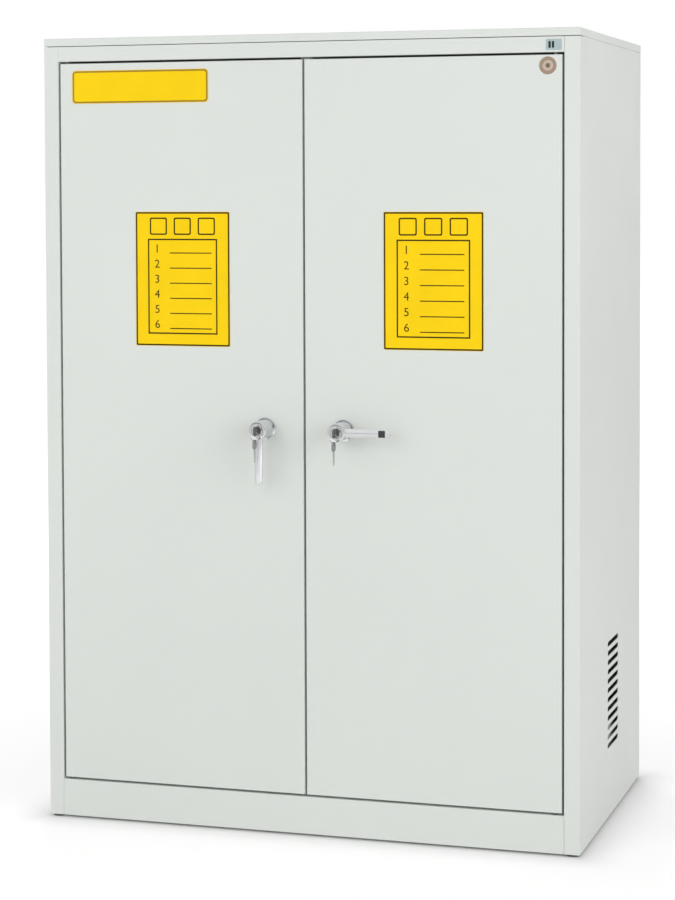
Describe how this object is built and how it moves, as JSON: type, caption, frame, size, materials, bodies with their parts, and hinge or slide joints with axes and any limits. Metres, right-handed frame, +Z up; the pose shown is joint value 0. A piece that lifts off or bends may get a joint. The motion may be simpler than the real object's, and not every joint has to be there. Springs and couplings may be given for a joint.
{
  "type": "chemical storage cabinet",
  "caption": "Free-standing steel cabinet with two hinged, lockable doors over separate compartments with tray shelves.",
  "frame": {"origin": "on the floor, below the middle of the whole object's box, handles and keys included", "axes": "+Z up, the doors face -Y, +X to the right of someone who faces the doors"},
  "size_m": [1.145, 0.7594, 1.65],
  "materials": {
    "grey_paint": "satin powder coat",
    "tray_paint": "satin powder coat",
    "zinc_plate": "zinc plated",
    "chrome": "polished",
    "nickel": "nickel plated",
    "brass": "machined",
    "nylon": "matt",
    "rubber": "matt",
    "foot_black": "matt"
  },
  "bodies": {
    "cabinet": {"side_panel_left": "grey_paint", "side_panel_right": "grey_paint", "back_panel": "grey_paint", "roof_lid": "grey_paint", "ceiling_panel": "grey_paint", "floor_panel": "grey_paint", "top_rail": "grey_paint", "plinth": "grey_paint", "rear_base_rail": "grey_paint", "centre_post": "grey_paint", "centre_partition": "grey_paint", "shelf_uprights": "zinc_plate", "shelf_clips": "zinc_plate", "pivot_bearings": "nylon", "door_bumpers": "rubber", "left_lower_shelf": "tray_paint", "left_middle_shelf": "tray_paint", "left_upper_shelf": "tray_paint", "left_sump_tray": "tray_paint", "right_lower_shelf": "tray_paint", "right_middle_shelf": "tray_paint", "right_upper_shelf": "tray_paint", "right_sump_tray": "tray_paint"},
    "foot_front_left": {"foot_front_left": "foot_black"},
    "foot_rear_left": {"foot_rear_left": "foot_black"},
    "foot_front_right": {"foot_front_right": "foot_black"},
    "foot_rear_right": {"foot_rear_right": "foot_black"},
    "left_door": {"left_door_skin": "grey_paint", "left_door_stiffener": "grey_paint", "left_pivot_pins": "zinc_plate", "left_lock_case": "zinc_plate", "left_rod_guides": "nylon", "left_rosette": "chrome"},
    "left_handle": {"left_lever_handle": "chrome", "left_lock_pinion": "zinc_plate", "left_lock_barrel": "chrome"},
    "left_key": {"left_key": "nickel", "left_lock_plug": "brass"},
    "left_key_ring": {"left_key_ring": "nickel"},
    "left_spare_key": {"left_spare_key": "nickel"},
    "left_upper_rod": {"left_upper_rod": "zinc_plate"},
    "left_lower_rod": {"left_lower_rod": "zinc_plate"},
    "right_door": {"right_door_skin": "grey_paint", "right_door_stiffener": "grey_paint", "right_pivot_pins": "zinc_plate", "right_lock_case": "zinc_plate", "right_rod_guides": "nylon", "right_rosette": "chrome"},
    "right_handle": {"right_lever_handle": "chrome", "right_lock_pinion": "zinc_plate", "right_lock_barrel": "chrome"},
    "right_key": {"right_key": "nickel", "right_lock_plug": "brass"},
    "right_key_ring": {"right_key_ring": "nickel"},
    "right_spare_key": {"right_spare_key": "nickel"},
    "right_upper_rod": {"right_upper_rod": "zinc_plate"},
    "right_lower_rod": {"right_lower_rod": "zinc_plate"}
  },
  "joints": [
    {"name": "foot_front_left_screw", "type": "slide", "parent": "cabinet", "child": "foot_front_left", "axis": [0, 0, -1], "range_m": [0, 0.015]},
    {"name": "foot_rear_left_screw", "type": "slide", "parent": "cabinet", "child": "foot_rear_left", "axis": [0, 0, -1], "range_m": [0, 0.015]},
    {"name": "foot_front_right_screw", "type": "slide", "parent": "cabinet", "child": "foot_front_right", "axis": [0, 0, -1], "range_m": [0, 0.015]},
    {"name": "foot_rear_right_screw", "type": "slide", "parent": "cabinet", "child": "foot_rear_right", "axis": [0, 0, -1], "range_m": [0, 0.015]},
    {"name": "left_door_hinge", "type": "hinge", "parent": "cabinet", "child": "left_door", "pos_m": [-0.522, -0.29235, 0.8], "axis": [0, 0, -1], "range_deg": [0, 110]},
    {"name": "left_handle_turn", "type": "hinge", "parent": "left_door", "child": "left_handle", "pos_m": [-0.084, -0.30035, 0.8415], "axis": [0, 1, 0], "range_deg": [0, 90]},
    {"name": "left_upper_rod_slide", "type": "slide", "parent": "left_door", "child": "left_upper_rod", "axis": [0, 0, 1], "range_m": [0, 0.0151]},
    {"name": "left_lower_rod_slide", "type": "slide", "parent": "left_door", "child": "left_lower_rod", "axis": [0, 0, -1], "range_m": [0, 0.0151]},
    {"name": "left_key_turn", "type": "hinge", "parent": "left_handle", "child": "left_key", "pos_m": [-0.084, -0.35465, 0.8415], "axis": [0, 1, 0], "range_deg": [0, 90]},
    {"name": "left_ring_swing", "type": "hinge", "parent": "left_key", "child": "left_key_ring", "pos_m": [-0.084, -0.36995, 0.84], "axis": [1, 0, 0], "range_deg": [-50, 6]},
    {"name": "left_spare_swing", "type": "hinge", "parent": "left_key_ring", "child": "left_spare_key", "pos_m": [-0.084, -0.36995, 0.822], "axis": [1, 0, 0], "range_deg": [-50, 6]},
    {"name": "right_door_hinge", "type": "hinge", "parent": "cabinet", "child": "right_door", "pos_m": [0.522, -0.29235, 0.8], "axis": [0, 0, 1], "range_deg": [0, 110]},
    {"name": "right_handle_turn", "type": "hinge", "parent": "right_door", "child": "right_handle", "pos_m": [0.084, -0.30035, 0.8415], "axis": [0, 1, 0], "range_deg": [0, 90]},
    {"name": "right_upper_rod_slide", "type": "slide", "parent": "right_door", "child": "right_upper_rod", "axis": [0, 0, 1], "range_m": [0, 0.0151]},
    {"name": "right_lower_rod_slide", "type": "slide", "parent": "right_door", "child": "right_lower_rod", "axis": [0, 0, -1], "range_m": [0, 0.0151]},
    {"name": "right_key_turn", "type": "hinge", "parent": "right_handle", "child": "right_key", "pos_m": [0.084, -0.35465, 0.8415], "axis": [0, 1, 0], "range_deg": [0, 90]},
    {"name": "right_ring_swing", "type": "hinge", "parent": "right_key", "child": "right_key_ring", "pos_m": [0.084, -0.36995, 0.84], "axis": [1, 0, 0], "range_deg": [-50, 6]},
    {"name": "right_spare_swing", "type": "hinge", "parent": "right_key_ring", "child": "right_spare_key", "pos_m": [0.084, -0.36995, 0.822], "axis": [1, 0, 0], "range_deg": [-50, 6]}
  ],
  "couplings": [
    {"joint": "left_upper_rod_slide", "follows": "left_handle_turn", "m_per_rad": 0.0096},
    {"joint": "left_lower_rod_slide", "follows": "left_handle_turn", "m_per_rad": 0.0096},
    {"joint": "right_upper_rod_slide", "follows": "right_handle_turn", "m_per_rad": 0.0096},
    {"joint": "right_lower_rod_slide", "follows": "right_handle_turn", "m_per_rad": 0.0096}
  ]
}
